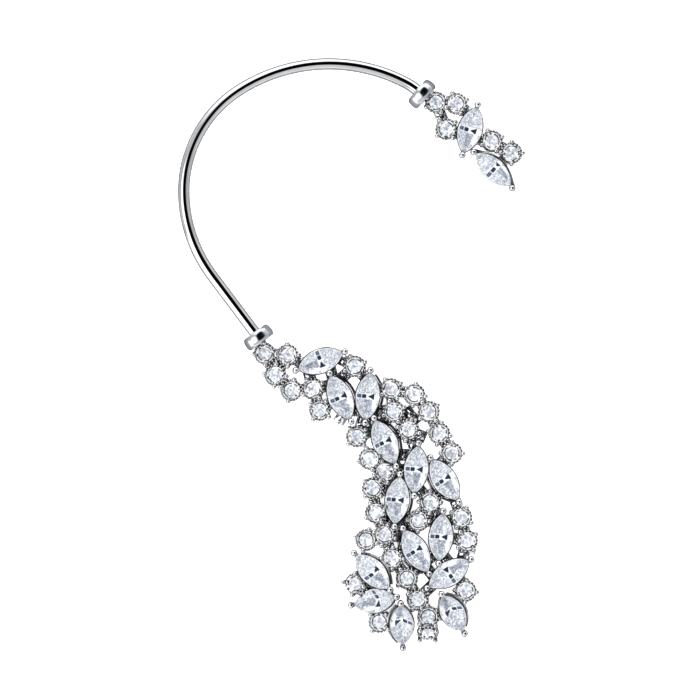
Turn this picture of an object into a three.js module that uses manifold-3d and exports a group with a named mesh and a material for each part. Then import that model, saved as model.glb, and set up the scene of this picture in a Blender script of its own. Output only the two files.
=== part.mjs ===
// An ear cuff: a round wire hook that goes round the ear, a rondelle on each end of the wire, and two
// clusters of claw-set stones, a small one at the top and a large one at the bottom.
// The cuff lies on its back with the stones up: +Z out of the back plane, +Y towards the top of the ear.
// Each cluster's metal is one casting of cups, claws and link bars, and each stone is a solid of its own.
import * as THREE from "three";
import { mergeVertices } from "three/addons/utils/BufferGeometryUtils.js";
import Module from "manifold-3d";

// Driving dimensions, in millimetres, and angles in degrees

const wireDiameter = 1.5;
const wireSides = 10;
const wireSteps = 36;

// The hook's centreline: it leaves the lower collar straight, then bends clockwise to the upper collar.
// Each bend's radius is a share of the hook's own
const hookHeading = 126.9;
const hookStraight = 9.6;
const hookRadius = 17.8;
const hookBends = [
  { share: 1, sweep: 34.5 },
  { share: 0.843, sweep: 59.6 },
  { share: 1.169, sweep: 59.6 },
  { share: 0.612, sweep: 14.2 },
];

const collarDiameter = 3.75;
const collarLength = 1.5;
const collarFace = 3.0;
const collarSides = 16;
const boreClearance = 0.08;

// How far the wire's end stops short of the collar's middle, and how far the cluster's peg goes in
const wireTrim = 0.125;
const pegLength = 0.5;

const marquiseLength = 6.0;
const marquiseWidth = 3.0;
const marquiseSides = 10;
const roundDiameter = 2.25;
const roundSides = 8;
const girdleThickness = 0.12;
const seatClearance = 0.08;

// Proportions of a cut stone, as shares of its width
const crownShare = 0.16;
const tableShare = 0.58;
const pavilionShare = 0.43;

// The castings
const culetRise = 1.0;
const cupWall = 0.2;
const cupBaseShare = 0.6;
const cupRimDrop = 0.2;
const barWidth = 0.8;
const barHeight = 0.8;
const neckWidth = 1.3;
const clawRise = 0.5;
const clawFoot = 0.15;
const roundClawWidth = 0.6;
const roundClawThickness = 0.5;
const roundClawOverhang = 0.15;
const marquiseClawWidth = 0.8;
const marquiseClawThickness = 0.6;
const marquiseClawOverhang = 0.3;
const studSides = 6;

// Places in a cluster are shares of one cell, which grows with whichever stone needs the most room
const cell = Math.max(marquiseLength / 2, marquiseWidth, (roundDiameter * 4) / 3);

// The room that a stone has in the layout, as half its length and half its width in cells. Its cup and
// claws fill that room, so neighbours keep touching when only one kind of stone changes its size
const marquiseRoom = { along: 1, across: 0.5 };
const roundRoom = { along: 0.375, across: 0.375 };

// Two stones whose rooms stand closer than this share of a cell have a bar between them
const linkReach = 0.16;

// Where a seat cuts a corner off a neighbour's claw, a crumb smaller than a cube this wide is left out
const crumbWidth = 0.46;
const meshTolerance = 0.004;

// Each stone: x and y from the middle of its collar's face, the turn of its long axis or of its square
// of claws, its lift over the common level, and the lean of its table towards a heading
const upperMarquises = [
  { x: 1.82, y: -1.35, turn: 73 },
  { x: 2.79, y: -3.01, turn: -43, lean: 28, heading: -133 },
];
const upperRounds = [
  { x: 0.41, y: -0.19, turn: 28 },
  { x: 1.26, y: -0.24, turn: 24 },
  { x: 0.83, y: -1.31, turn: 38 },
  { x: 2.74, y: -1.8, turn: 22 },
  { x: 3.56, y: -2.3, turn: 2 },
];
const lowerMarquises = [
  { x: 2.44, y: -0.79, turn: 21 },
  { x: 3.27, y: -2.31, turn: -66 },
  { x: 4.41, y: -2.27, turn: 84 },
  { x: 5.13, y: -4.17, turn: -65 },
  { x: 6.43, y: -5.31, turn: 85, lift: 0.12 },
  { x: 5.64, y: -6.59, turn: 84 },
  { x: 7.61, y: -5.74, turn: -57 },
  { x: 6.42, y: -8.71, turn: -60 },
  { x: 7.46, y: -8.13, turn: 85 },
  { x: 4.6, y: -9.56, turn: -45, lift: 0.12, lean: 15, heading: 135 },
  { x: 4.68, y: -10.79, turn: 12, lean: 28, heading: 192 },
  { x: 5.83, y: -11.8, turn: -87, lean: 30, heading: -87 },
  { x: 7.8, y: -9.65, turn: 33 },
  { x: 7.96, y: -11.31, turn: -60, lean: 27, heading: -60 },
];
const lowerRounds = [
  { x: 0.12, y: -0.49, turn: 0 },
  { x: 1.07, y: -0.54, turn: 0 },
  { x: 0.55, y: -1.39, turn: -2 },
  { x: 1.22, y: -2.02, turn: -12 },
  { x: 2.13, y: -1.96, turn: 35 },
  { x: 2.41, y: -2.84, turn: 56 },
  { x: 3.88, y: -1.01, turn: 25 },
  { x: 5.39, y: -1.95, turn: 29 },
  { x: 6.36, y: -2.19, turn: -8 },
  { x: 5.49, y: -2.89, turn: 25 },
  { x: 6.96, y: -2.9, turn: 40 },
  { x: 6.11, y: -3.67, turn: -13 },
  { x: 7.4, y: -3.81, turn: -10 },
  { x: 7.92, y: -4.63, turn: 2 },
  { x: 3.96, y: -3.94, turn: 41 },
  { x: 4.48, y: -4.87, turn: 20 },
  { x: 5.13, y: -5.42, turn: 15 },
  { x: 4.62, y: -6.1, turn: 48 },
  { x: 4.75, y: -7.11, turn: 30 },
  { x: 5.12, y: -8.04, turn: -10 },
  { x: 4.34, y: -8.25, turn: -14 },
  { x: 5.44, y: -9.02, turn: 0 },
  { x: 6.05, y: -9.85, turn: 40 },
  { x: 6.5, y: -10.75, turn: 61 },
  { x: 7.0, y: -6.67, turn: 0 },
  { x: 6.52, y: -7.44, turn: 0 },
  { x: 8.32, y: -7.31, turn: 60 },
  { x: 8.55, y: -8.29, turn: 40 },
  { x: 8.5, y: -10.38, turn: -2 },
  { x: 3.84, y: -10.09, turn: -8, lean: 25, heading: 190 },
  { x: 4.89, y: -11.68, turn: 54 },
  { x: 6.94, y: -11.46, turn: 45 },
  { x: 6.92, y: -12.2, turn: 45, lift: -0.15, lean: 50, heading: -90 },
];

// Bare claws that stand by themselves between the stones
const upperStuds = [];
const lowerStuds = [
  { x: 5.65, y: -5.35 },
  { x: 3.17, y: -3.37 },
];

// Colours and finishes
const silver = { color: 0xdfe2e6, roughness: 0.12, metalness: 1 };
const greySilver = { color: 0xb9bec6, roughness: 0.16, metalness: 1 };
const clearStone = { color: 0xf4f6f8, roughness: 0.03, metalness: 0 };
const paleBlueStone = { color: 0xdfe9f8, roughness: 0.03, metalness: 0 };

// What follows from the sizes
const wireLevel = collarDiameter / 2;
const wireRadius = wireDiameter / 2;
const boreRadius = wireRadius + boreClearance;
const bowlClearance = 1.4 * seatClearance;

const wasm = await Module();
wasm.setup();

function radians(degrees) {
  return THREE.MathUtils.degToRad(degrees);
}

// A closed geometry's solid, with the vertices that its faces share merged
function solidOf(geometry, matrix = new THREE.Matrix4()) {
  const bare = new THREE.BufferGeometry();
  bare.setAttribute("position", geometry.getAttribute("position").clone());
  bare.setIndex(geometry.getIndex());
  const merged = mergeVertices(bare.applyMatrix4(matrix), 1e-4);
  return new wasm.Manifold(
    new wasm.Mesh({
      numProp: 3,
      vertProperties: merged.getAttribute("position").array,
      triVerts: new Uint32Array(merged.getIndex().array),
    }),
  );
}

function geometryOf(solid) {
  const mesh = solid.getMesh();
  const geometry = new THREE.BufferGeometry();
  geometry.setAttribute("position", new THREE.BufferAttribute(mesh.vertProperties, 3));
  geometry.setIndex(new THREE.BufferAttribute(mesh.triVerts, 1));
  geometry.computeVertexNormals();
  return geometry;
}

function meshOf(name, geometry, finish) {
  const mesh = new THREE.Mesh(geometry, new THREE.MeshStandardMaterial({ flatShading: true, ...finish }));
  mesh.name = name;
  return mesh;
}

// A point of a round outline and of a marquise outline, which is two arcs that meet in points.
// Both take the angle round the outline, from one point on the +X side
function roundOutline(diameter, turn = 0) {
  return (angle) => new THREE.Vector2(diameter / 2, 0).rotateAround(new THREE.Vector2(), angle + turn);
}

function marquiseOutline(length, width) {
  const arcRadius = (length ** 2 + width ** 2) / (4 * width);
  const halfArc = Math.asin(length / 2 / arcRadius);
  return (angle) => {
    const around = THREE.MathUtils.euclideanModulo(angle, 2 * Math.PI);
    const side = around < Math.PI ? 1 : -1;
    const along = side > 0 ? around : 2 * Math.PI - around;
    const arcAngle = halfArc * (1 - (2 * along) / Math.PI);
    const across = arcRadius * Math.cos(arcAngle) - (arcRadius - width / 2);
    return new THREE.Vector2(arcRadius * Math.sin(arcAngle), side * Math.max(across, 0));
  };
}

// A closed form made of rings of one outline. Each row is a share of the outline, a height, and how
// far its ring is turned, in steps of the outline's sides. The first and last rows lie on the axis
function ringedGeometry(rows, sides, outline) {
  const profile = rows.map((row) => new THREE.Vector2(row.share, row.height));
  const geometry = new THREE.LatheGeometry(profile, sides);
  const position = geometry.getAttribute("position");
  for (let step = 0; step <= sides; step += 1) {
    rows.forEach((row, index) => {
      const angle = (2 * Math.PI * ((step % sides) + (row.turn ?? 0))) / sides;
      const point = outline(angle).multiplyScalar(row.share);
      position.setXYZ(step * rows.length + index, point.x, point.y, row.height);
    });
  }
  geometry.deleteAttribute("normal");
  geometry.deleteAttribute("uv");
  return mergeVertices(geometry, 1e-4);
}

// What a stone is cut to: its outline grown by a clearance, its width, and the sides it is drawn with
const marquiseCut = {
  width: marquiseWidth,
  clawReach: marquiseLength / 2,
  sides: marquiseSides,
  outline: (grow) => marquiseOutline(marquiseLength + 2 * grow, marquiseWidth + 2 * grow),
  cupOutline: marquiseOutline(
    2 * (marquiseRoom.along * cell + cupWall),
    2 * (marquiseRoom.across * cell + cupWall),
  ),
  claws: [0, 180],
  clawWidth: marquiseClawWidth,
  clawThickness: marquiseClawThickness,
  clawOverhang: marquiseClawOverhang,
  spine: [-0.6, -0.3, 0, 0.3, 0.6],
  room: marquiseRoom,
  clawRoom: marquiseRoom.along * cell,
};
const roundCut = {
  width: roundDiameter,
  clawReach: (roundDiameter / 2) * Math.cos(Math.PI / roundSides),
  sides: roundSides,
  outline: (grow) => roundOutline(roundDiameter + 2 * grow, Math.PI / roundSides),
  cupOutline: roundOutline(2 * (roundRoom.along * cell + cupWall), Math.PI / roundSides),
  claws: [0, 90, 180, 270],
  clawWidth: roundClawWidth,
  clawThickness: roundClawThickness,
  clawOverhang: roundClawOverhang,
  spine: [0],
  room: roundRoom,
  clawRoom: roundRoom.along * cell * Math.cos(Math.PI / roundSides),
};

// A stone cut: a pointed pavilion, a thin girdle, and crown facets up to a table turned half a step.
// Grown by the seat clearance, the same form cuts the stone's seat out of the metal
function stoneGeometry(cut, grow = 0) {
  const halfGirdle = girdleThickness / 2 + grow;
  return ringedGeometry(
    [
      { share: 0, height: -cut.width * pavilionShare - 2 * grow },
      { share: 1, height: -halfGirdle },
      { share: 1, height: halfGirdle },
      { share: tableShare, height: cut.width * crownShare + grow, turn: 0.5 },
      { share: 0, height: cut.width * crownShare + grow },
    ],
    cut.sides,
    cut.outline(grow),
  );
}

// Where a stone's girdle lies in its cluster: its culet stands on the culet level, and its table leans
function stoneMatrix(cut, place) {
  const level = culetRise + cut.width * pavilionShare + (place.lift ?? 0) * cell;
  const heading = radians(place.heading ?? 0);
  const leanAxis = new THREE.Vector3(-Math.sin(heading), Math.cos(heading), 0);
  return new THREE.Matrix4()
    .makeTranslation(place.x * cell, place.y * cell, level)
    .multiply(new THREE.Matrix4().makeRotationAxis(leanAxis, radians(place.lean ?? 0)))
    .multiply(new THREE.Matrix4().makeRotationZ(radians(place.turn)));
}

// A stone's cup: a frustum of the stone's outline with a bowl for the pavilion, up to the girdle
function cupSolid(cut, place, matrix) {
  const leans = (place.lean ?? 0) > 0;
  const girdleLevel = matrix.elements[14];
  const depth = leans ? cut.width * pavilionShare + cupWall : girdleLevel;
  const bowlShare = (cut.width / 2 + bowlClearance) / (cut.room.across * cell + cupWall);
  const cup = ringedGeometry(
    [
      { share: 0, height: -depth },
      { share: cupBaseShare, height: -depth },
      { share: 1, height: -cupRimDrop },
      { share: bowlShare, height: -cupRimDrop },
      { share: 0, height: -cut.width * pavilionShare - 2 * bowlClearance },
    ],
    cut.sides,
    cut.cupOutline,
  );
  const solid = solidOf(cup, matrix);
  return leans ? solid.add(stemSolid(matrix.elements[12], matrix.elements[13], girdleLevel)) : solid;
}

// A plain upright from the back plane to under a leaning stone
function stemSolid(x, y, top) {
  const stem = new THREE.CylinderGeometry(barWidth / 2, barWidth / 2, top, studSides);
  const upright = new THREE.Matrix4()
    .makeTranslation(x, y, top / 2)
    .multiply(new THREE.Matrix4().makeRotationX(Math.PI / 2));
  return solidOf(stem, upright);
}

// A claw: it rises from the cup's wall past the girdle and hooks over the stone's edge.
// Its section is drawn in the plane of the stone's axis and then given the claw's width
function clawSolid(cut, heading, matrix) {
  const halfGirdle = girdleThickness / 2;
  const inner = cut.clawReach + bowlClearance;
  const outer = cut.clawRoom + cut.clawThickness;
  const tip = cut.clawReach - cut.clawOverhang;
  const crownSlope = (cut.width * crownShare - halfGirdle) / (cut.clawReach * (1 - tableShare));
  const tipUnder = halfGirdle + crownSlope * cut.clawOverhang + bowlClearance * 1.5;
  const section = new THREE.Shape([
    new THREE.Vector2(inner, -cupRimDrop - clawFoot),
    new THREE.Vector2(outer, clawRise),
    new THREE.Vector2(tip, tipUnder),
    new THREE.Vector2(inner, halfGirdle + bowlClearance),
  ]);
  const claw = new THREE.ExtrudeGeometry(section, { depth: cut.clawWidth, steps: 1, bevelEnabled: false });
  const upright = new THREE.Matrix4()
    .makeRotationZ(radians(heading))
    .multiply(new THREE.Matrix4().makeRotationX(Math.PI / 2))
    .multiply(new THREE.Matrix4().makeTranslation(0, 0, -cut.clawWidth / 2));
  return solidOf(claw, matrix.clone().multiply(upright));
}

// A bare claw on a stem of its own, as tall as the claws of a round stone
function studSolid(place) {
  const height = culetRise + roundDiameter * pavilionShare + clawRise;
  const bead = roundClawWidth / 2;
  const stud = ringedGeometry(
    [
      { share: 0, height: 0 },
      { share: bead * 0.8, height: 0 },
      { share: bead, height: height - bead },
      { share: bead / 2, height },
      { share: 0, height },
    ],
    studSides,
    roundOutline(2),
  );
  return solidOf(stud, new THREE.Matrix4().makeTranslation(place.x * cell, place.y * cell, 0));
}

// The points of a stone's middle line that a link bar may run to, in cells. A leaning stone has only
// the stem under its middle
function spinePoints(stone) {
  const turn = radians(stone.place.turn);
  const along = new THREE.Vector2(Math.cos(turn), Math.sin(turn));
  const middle = new THREE.Vector2(stone.place.x, stone.place.y);
  const spine = stone.place.lean ? [0] : stone.cut.spine;
  return spine.map((share) => along.clone().multiplyScalar(share).add(middle));
}

// The shortest way between the middle lines of two stones
function shortestWay(from, to) {
  const ways = from.flatMap((a) => to.map((b) => ({ a, b, length: a.distanceTo(b) })));
  return ways.reduce((best, way) => (way.length < best.length ? way : best));
}

// A flat bar on the back plane, between two points in cells
function barSolid(a, b) {
  const along = b.clone().sub(a).multiplyScalar(cell);
  const middle = a.clone().add(b).multiplyScalar(cell / 2);
  const bar = new THREE.BoxGeometry(along.length(), barWidth, barHeight);
  const matrix = new THREE.Matrix4()
    .makeTranslation(middle.x, middle.y, barHeight / 2)
    .multiply(new THREE.Matrix4().makeRotationZ(along.angle()));
  return solidOf(bar, matrix);
}

// The bars that join a cluster: from the closest stones outwards, one bar between each two groups that
// no bar joins yet, and one between each two stones that stand side by side
function linkSolids(stones, studs) {
  const studHalf = roundClawWidth / 2 / cell;
  const feet = [
    ...stones.map((stone) => ({ points: spinePoints(stone), half: stone.cut.room.across })),
    ...studs.map((stud) => ({ points: [new THREE.Vector2(stud.x, stud.y)], half: studHalf })),
  ];
  feet.forEach((foot, index) => {
    foot.group = index;
  });
  const ways = feet.flatMap((from, index) =>
    feet.slice(index + 1).map((to) => {
      const way = shortestWay(from.points, to.points);
      return { ...way, from, to, slack: way.length - from.half - to.half };
    }),
  );
  ways.sort((one, other) => one.slack - other.slack);
  return ways
    .filter(({ from, to, slack }) => {
      const apart = from.group !== to.group;
      const joined = to.group;
      if (apart) feet.filter((foot) => foot.group === joined).forEach((foot) => (foot.group = from.group));
      return apart || slack < linkReach;
    })
    .map((way) => barSolid(way.a, way.b));
}

// The collar as a solid of revolution about Z, with a flat face at each end, a bulged side and a bore
function collarGeometry(bore, grow = 0) {
  const half = collarLength / 2 + grow;
  const flat = half - collarLength / 8;
  const faceRadius = collarFace / 2 + grow;
  const fullRadius = collarDiameter / 2 + grow;
  const shoulderRadius = (faceRadius + 3 * fullRadius) / 4;
  const profile = [
    [bore, -half],
    [faceRadius, -half],
    [shoulderRadius, -flat],
    [fullRadius, 0],
    [shoulderRadius, flat],
    [faceRadius, half],
    [bore, half],
    [bore, -half],
  ];
  const points = profile.map(([radius, height]) => new THREE.Vector2(radius, height));
  return new THREE.LatheGeometry(points, collarSides);
}

// Turns a form made about Y so that it lies along a heading in the XY plane, on the wire's level
function alongWire(point, heading) {
  return new THREE.Matrix4()
    .makeTranslation(point.x, point.y, wireLevel)
    .multiply(new THREE.Matrix4().makeRotationZ(radians(heading) - Math.PI / 2));
}

// The peg that goes into the collar's bore, and the neck that carries it from the first stone's cup.
// They lie in the cluster's frame, whose zero is the middle of the collar's face
function neckSolid(heading, firstStone) {
  const toStone = Math.hypot(firstStone.place.x, firstStone.place.y) * cell;
  const frame = alongWire(new THREE.Vector2(), heading);
  const peg = new THREE.CylinderGeometry(wireRadius, wireRadius, pegLength + toStone / 2, wireSides);
  const pegMiddle = (toStone / 2 - pegLength) / 2;
  const neckTop = wireLevel + wireRadius;
  const neck = new THREE.BoxGeometry(neckWidth, toStone - seatClearance, neckTop);
  const neckMiddle = (toStone + seatClearance) / 2;
  const pegMatrix = frame.clone().multiply(new THREE.Matrix4().makeTranslation(0, pegMiddle, 0));
  const neckMatrix = frame
    .clone()
    .multiply(new THREE.Matrix4().makeTranslation(0, neckMiddle, neckTop / 2 - wireLevel));
  return solidOf(peg, pegMatrix).add(solidOf(neck, neckMatrix));
}

// One cluster's casting: everything that is metal, less the seats of its stones, the room of its
// collar and whatever would stand below the back plane
function castingSolid(stones, studs, collarHeading) {
  const metal = stones.flatMap(({ cut, place, matrix }) => [
    cupSolid(cut, place, matrix),
    ...cut.claws.map((heading) => clawSolid(cut, heading, matrix)),
  ]);
  const neck = neckSolid(collarHeading, stones.find(({ cut }) => cut === roundCut));
  const joined = wasm.Manifold.union([...metal, ...linkSolids(stones, studs), ...studs.map(studSolid)]);
  const seats = stones.map(({ cut, matrix }) => solidOf(stoneGeometry(cut, seatClearance), matrix));
  const collarMiddle = new THREE.Vector2(-collarLength / 2, 0).rotateAround(
    new THREE.Vector2(),
    radians(collarHeading),
  );
  const collarRoom = solidOf(
    new THREE.CylinderGeometry(
      collarDiameter / 2 + boreClearance,
      collarDiameter / 2 + boreClearance,
      collarLength + 2 * seatClearance,
      collarSides,
    ),
    alongWire(collarMiddle, collarHeading),
  );
  const cut = joined
    .subtract(collarRoom)
    .add(neck)
    .subtract(wasm.Manifold.union(seats))
    .trimByPlane([0, 0, 1], 0)
    .simplify(meshTolerance);
  return wasm.Manifold.union(cut.decompose().filter((piece) => piece.volume() > crumbWidth ** 3));
}

// A cluster: its casting and its stones, in a group whose zero is the middle of the collar's face
function clusterGroup(name, marquises, rounds, studs, collarHeading) {
  const group = new THREE.Group();
  const stones = [
    ...marquises.map((place) => ({ cut: marquiseCut, place })),
    ...rounds.map((place) => ({ cut: roundCut, place })),
  ];
  stones.forEach((stone) => {
    stone.matrix = stoneMatrix(stone.cut, stone.place);
  });
  group.add(meshOf("setting_" + name, geometryOf(castingSolid(stones, studs, collarHeading)), greySilver));
  stones.forEach((stone, index) => {
    const isMarquise = stone.cut === marquiseCut;
    const kind = isMarquise ? "marquise" : "round";
    const number = isMarquise ? index + 1 : index + 1 - marquises.length;
    const label = [kind, name, String(number).padStart(2, "0")].join("_");
    const mesh = meshOf(label, stoneGeometry(stone.cut), isMarquise ? paleBlueStone : clearStone);
    mesh.applyMatrix4(stone.matrix);
    group.add(mesh);
  });
  return group;
}

// The wire's centreline as a chain of a straight and clockwise bends, each tangent to the next
class HookCurve extends THREE.Curve {
  constructor(trim) {
    super();
    this.pieces = [];
    let point = new THREE.Vector2();
    let heading = radians(hookHeading);
    const add = (length, radius) => {
      this.pieces.push({ point, heading, length, radius });
      point = this.along(this.pieces.at(-1), length);
      heading -= radius ? length / radius : 0;
    };
    add(hookStraight, 0);
    hookBends.forEach(({ share, sweep }) => add(hookRadius * share * radians(sweep), hookRadius * share));
    this.end = point;
    this.endHeading = THREE.MathUtils.radToDeg(heading);
    this.trim = trim;
    this.full = this.pieces.reduce((sum, piece) => sum + piece.length, 0);
  }

  along(piece, distance) {
    const { point, heading, radius } = piece;
    if (!radius) {
      return new THREE.Vector2(distance, 0).rotateAround(new THREE.Vector2(), heading).add(point);
    }
    const middle = new THREE.Vector2(Math.sin(heading), -Math.cos(heading)).multiplyScalar(radius).add(point);
    return point.clone().rotateAround(middle, -distance / radius);
  }

  getPoint(share, target = new THREE.Vector3()) {
    let distance = this.trim + share * (this.full - 2 * this.trim);
    let index = 0;
    while (index < this.pieces.length - 1 && distance > this.pieces[index].length) {
      distance -= this.pieces[index].length;
      index += 1;
    }
    const point = this.along(this.pieces[index], distance);
    return target.set(point.x, point.y, wireLevel);
  }
}

// The wire, swept along its centreline. Its ends stop short of the collars' middles by the trim
function hookGeometry(curve) {
  const section = new THREE.Shape();
  const corner = (index) => (2 * Math.PI * (index + 0.5)) / wireSides;
  section.moveTo(wireRadius * Math.cos(corner(0)), wireRadius * Math.sin(corner(0)));
  for (let index = 1; index < wireSides; index += 1) {
    section.lineTo(wireRadius * Math.cos(corner(index)), wireRadius * Math.sin(corner(index)));
  }
  return new THREE.ExtrudeGeometry(section, { steps: wireSteps, extrudePath: curve, bevelEnabled: false });
}

function collarMesh(name, point, heading) {
  const mesh = meshOf(name, collarGeometry(boreRadius), silver);
  mesh.applyMatrix4(alongWire(point, heading));
  return mesh;
}

function cuffGroup() {
  const cuff = new THREE.Group();
  const curve = new HookCurve(wireTrim);
  cuff.add(meshOf("ear_hook", hookGeometry(curve), silver));

  const lowerHeading = hookHeading - 180;
  const ends = [
    { name: "lower", point: new THREE.Vector2(), heading: lowerHeading },
    { name: "upper", point: curve.end, heading: curve.endHeading },
  ];
  const clusters = {
    lower: [lowerMarquises, lowerRounds, lowerStuds],
    upper: [upperMarquises, upperRounds, upperStuds],
  };
  ends.forEach(({ name, point, heading }) => {
    cuff.add(collarMesh("collar_" + name, point, heading));
    const cluster = clusterGroup(name, ...clusters[name], heading);
    const outwards = new THREE.Vector2(1, 0).rotateAround(new THREE.Vector2(), radians(heading));
    const face = outwards.multiplyScalar(collarLength / 2).add(point);
    cluster.position.set(face.x, face.y, 0);
    cuff.add(cluster);
  });
  return cuff;
}

// The cuff's frame has its zero under the middle of its box, on the back plane
const cuff = cuffGroup();
const box = new THREE.Box3().setFromObject(cuff, true);
const middle = box.getCenter(new THREE.Vector3());
cuff.position.set(-middle.x, -middle.y, -box.min.z);

const group = new THREE.Group();
group.add(cuff);

export default group;
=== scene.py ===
import bmesh
import bpy
import numpy as np
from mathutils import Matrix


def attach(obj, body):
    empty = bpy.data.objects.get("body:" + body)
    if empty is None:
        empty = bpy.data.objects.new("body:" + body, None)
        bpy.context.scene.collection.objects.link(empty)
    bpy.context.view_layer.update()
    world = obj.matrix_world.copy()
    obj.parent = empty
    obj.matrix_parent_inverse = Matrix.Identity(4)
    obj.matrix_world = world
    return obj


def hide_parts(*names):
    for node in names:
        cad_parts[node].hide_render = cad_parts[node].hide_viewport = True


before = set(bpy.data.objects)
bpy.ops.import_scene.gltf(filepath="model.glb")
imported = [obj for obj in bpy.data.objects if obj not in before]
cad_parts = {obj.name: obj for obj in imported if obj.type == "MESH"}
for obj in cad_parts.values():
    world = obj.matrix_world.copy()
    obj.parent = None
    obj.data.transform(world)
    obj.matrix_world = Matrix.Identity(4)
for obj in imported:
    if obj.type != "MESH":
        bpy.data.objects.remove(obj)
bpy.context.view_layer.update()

# The camera stands straight above the cuff, as far off as a jeweller's copy stand, with a long lens.
# The photograph's middle and width are measured on the level of the stones' girdles.
mm = 0.001
camera_height = 600 * mm
photo_middle = np.array([-0.123, 0.636]) * mm
photo_width = 87.5 * mm
girdle_level = 2.1 * mm
camera_data = bpy.data.cameras.new("copy_stand_camera")
camera_data.sensor_width = 36
camera_data.lens = camera_data.sensor_width * camera_height / photo_width
camera_data.clip_start = 0.01
camera_data.clip_end = 10
camera = bpy.data.objects.new("copy_stand_camera", camera_data)
camera.location = (*photo_middle, girdle_level + camera_height)
bpy.context.scene.collection.objects.link(camera)
bpy.context.scene.camera = camera
bpy.context.scene.view_settings.view_transform = "Standard"


# A white tent hangs round the cuff. Its walls glow more towards the two ends, and three panels of it
# are lit. Two dark openings side by side near the top show in polished metal as a thin black line.
def linear(hex_colour):
    """An sRGB colour such as c0ffee to the linear values that Blender's sockets take."""
    srgb = np.array([int(hex_colour[place : place + 2], 16) for place in (0, 2, 4)]) / 255
    low = srgb / 12.92
    high = ((srgb + 0.055) / 1.055) ** 2.4
    return (*np.where(srgb <= 0.04045, low, high).tolist(), 1.0)


def add_node(tree, kind, settings=(), links=(), **attributes):
    """One node: its attributes, then its input values by name or number, then what is linked to it."""
    node = tree.nodes.new(kind)
    for name, value in attributes.items():
        setattr(node, name, value)
    for socket, value in dict(settings).items():
        node.inputs[socket].default_value = value
    for socket, source in dict(links).items():
        tree.links.new(source, node.inputs[socket])
    return node


def set_stops(ramp, stops):
    """A colour ramp's stops, from pairs of a place and an sRGB colour."""
    elements = ramp.color_ramp.elements
    while len(elements) < len(stops):
        elements.new(0.5)
    for element, (place, hex_colour) in zip(elements, stops):
        element.position = place
        element.color = linear(hex_colour)


def sky_way(heading, tilt):
    """The direction at an angle off straight up, towards a heading in degrees from the x axis."""
    turn, lean = np.radians(heading), np.radians(tilt)
    return (np.sin(lean) * np.cos(turn), np.sin(lean) * np.sin(turn), np.cos(lean))


def sky_patch(tree, direction, heading, tilt, half_angle, outside, inside):
    """A round patch of the tent: a number that is inside within the half angle and outside beyond it,
    with a soft edge a quarter of the half angle wide."""
    way = sky_way(heading, tilt)
    nearness = add_node(tree, "ShaderNodeVectorMath", {1: way}, {0: direction}, operation="DOT_PRODUCT")
    edge = np.cos(np.radians([half_angle * 1.12, half_angle * 0.88]))
    settings = {1: edge[0], 2: edge[1], 3: outside, 4: inside}
    return add_node(tree, "ShaderNodeMapRange", settings, {0: nearness.outputs["Value"]}).outputs[0]


def joined(tree, operation, numbers):
    """One number out of several, by the operation on them in turn."""
    total = numbers[0]
    for number in numbers[1:]:
        total = add_node(tree, "ShaderNodeMath", {}, {0: total, 1: number}, operation=operation).outputs[0]
    return total


wall_stops = [
    (0.0, "b0b0b0"),
    (0.5, "d8d8d8"),
    (0.56, "e6e6e6"),
    (0.62, "a8a8a8"),
    (0.85, "b4b4b4"),
    (1.0, "c0c0c0"),
]
wall_gain_at_ends = 0.9
lit_panels = [
    {"heading": 200, "tilt": 37, "half_angle": 22, "outside": 0.0, "inside": 1.3},
    {"heading": 95, "tilt": 68, "half_angle": 42, "outside": 0.0, "inside": 0.9},
    {"heading": 217, "tilt": 78, "half_angle": 20, "outside": 0.0, "inside": 0.9},
]
dark_openings = [
    {"heading": 15, "tilt": 15.5, "half_angle": 28, "outside": 1.0, "inside": 0.004},
    {"heading": 53, "tilt": 25, "half_angle": 30, "outside": 1.0, "inside": 0.004},
]
tent_strength = 1.6
world = bpy.data.worlds.new("light_tent")
bpy.context.scene.world = world
world.use_nodes = True
tent = world.node_tree
tent.nodes.clear()
direction = add_node(tent, "ShaderNodeTexCoord").outputs["Generated"]
parts = add_node(tent, "ShaderNodeSeparateXYZ", links={0: direction})
height_share = add_node(tent, "ShaderNodeMapRange", {1: -1.0, 2: 1.0}, {0: parts.outputs["Z"]})
walls = add_node(tent, "ShaderNodeValToRGB", links={0: height_share.outputs[0]})
set_stops(walls, wall_stops)
towards_ends = add_node(tent, "ShaderNodeMath", {}, {0: parts.outputs["Y"]}, operation="ABSOLUTE")
gain_settings = {1: wall_gain_at_ends, 2: 1.0}
end_gain = add_node(
    tent, "ShaderNodeMath", gain_settings, {0: towards_ends.outputs[0]}, operation="MULTIPLY_ADD"
)
end_walls = add_node(
    tent, "ShaderNodeVectorMath", {}, {0: walls.outputs[0], "Scale": end_gain.outputs[0]}, operation="SCALE"
)
panel_glow = joined(tent, "ADD", [sky_patch(tent, direction, **panel) for panel in lit_panels])
openness = joined(tent, "MULTIPLY", [sky_patch(tent, direction, **opening) for opening in dark_openings])
lit_walls = add_node(
    tent, "ShaderNodeVectorMath", {}, {0: end_walls.outputs[0], 1: panel_glow}, operation="ADD"
)
open_tent = add_node(
    tent, "ShaderNodeVectorMath", {}, {0: lit_walls.outputs[0], "Scale": openness}, operation="SCALE"
)
glow = add_node(tent, "ShaderNodeBackground", {"Strength": tent_strength}, {"Color": open_tent.outputs[0]})
add_node(tent, "ShaderNodeOutputWorld", links={"Surface": glow.outputs[0]})

# A broad soft lamp over the tent lights the paper and the stones. Its own image is kept out of the
# polished metal, as a diffusing sheet does.
lamp_data = bpy.data.lights.new("broad_soft_lamp", "SUN")
lamp_data.energy = 3.6
lamp_data.angle = np.radians(60)
lamp = bpy.data.objects.new("broad_soft_lamp", lamp_data)
lamp.visible_glossy = False
bpy.context.scene.collection.objects.link(lamp)

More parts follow.
